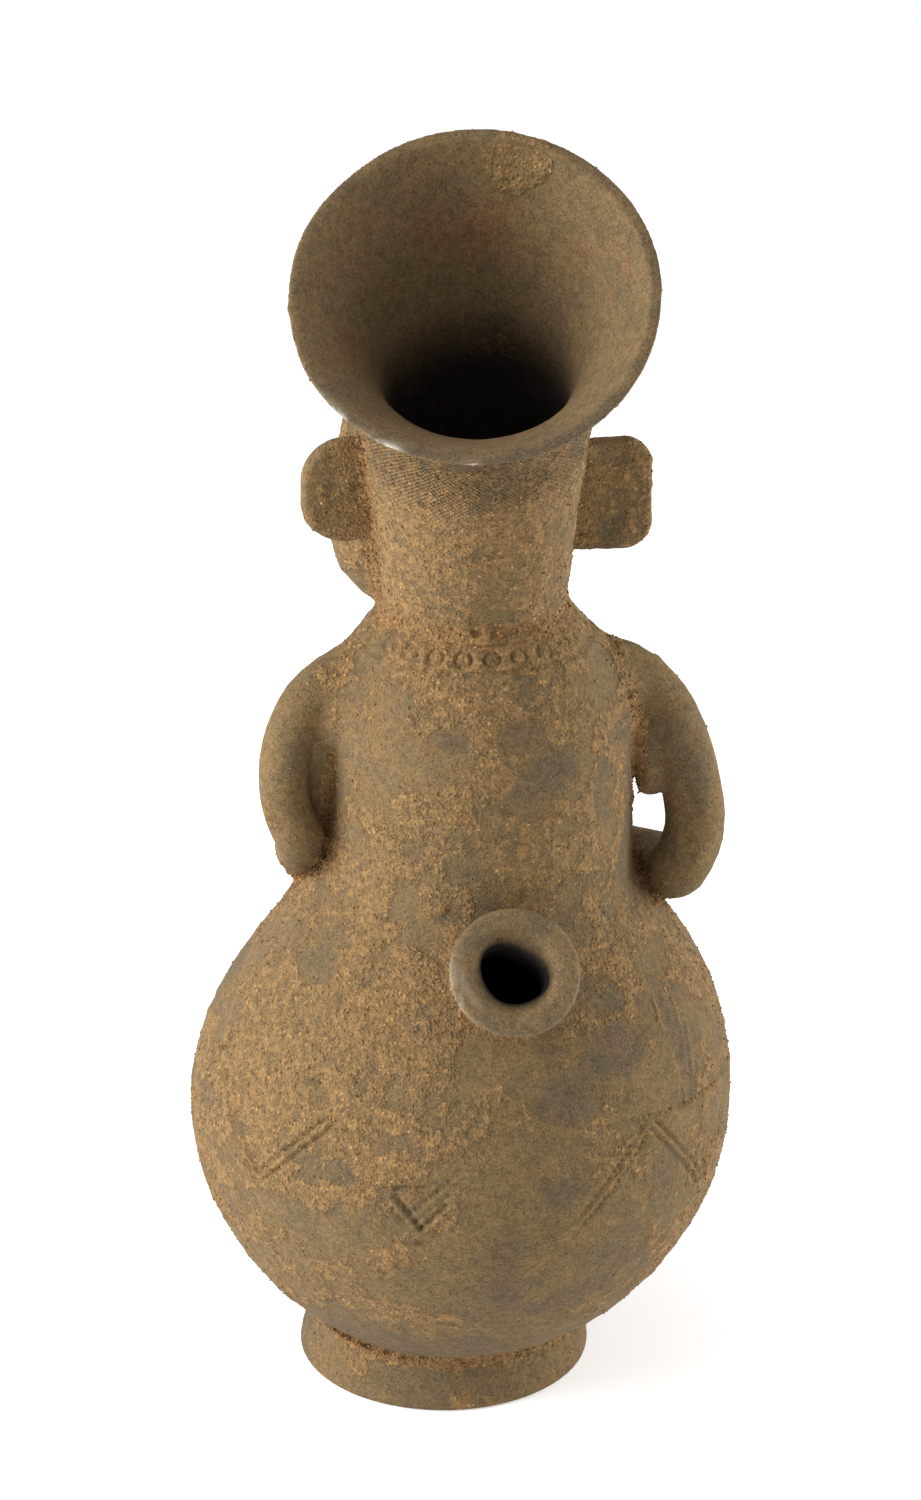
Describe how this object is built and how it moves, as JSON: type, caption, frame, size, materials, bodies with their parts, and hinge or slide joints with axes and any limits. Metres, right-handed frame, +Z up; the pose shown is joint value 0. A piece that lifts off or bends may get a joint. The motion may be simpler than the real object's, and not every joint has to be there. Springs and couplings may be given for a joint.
{
  "type": "anthropomorphic jar",
  "caption": "Fired-clay jar in the form of a figure: round belly on a ring foot, arms akimbo, stamped collar, leaning head with funnel mouth, short spout at the back.",
  "frame": {"origin": "on the ground under the middle of the belly", "axes": "+Z up, the figure faces -Y, the spout and the open side of the mouth face +Y, the figure's left hand is on +X"},
  "size_m": [0.1847, 0.1836, 0.4377],
  "materials": {
    "clay": "unglazed fired clay under a dusty coat of tan soil"
  },
  "bodies": {
    "root": {"jar": "clay"}
  },
  "joints": []
}
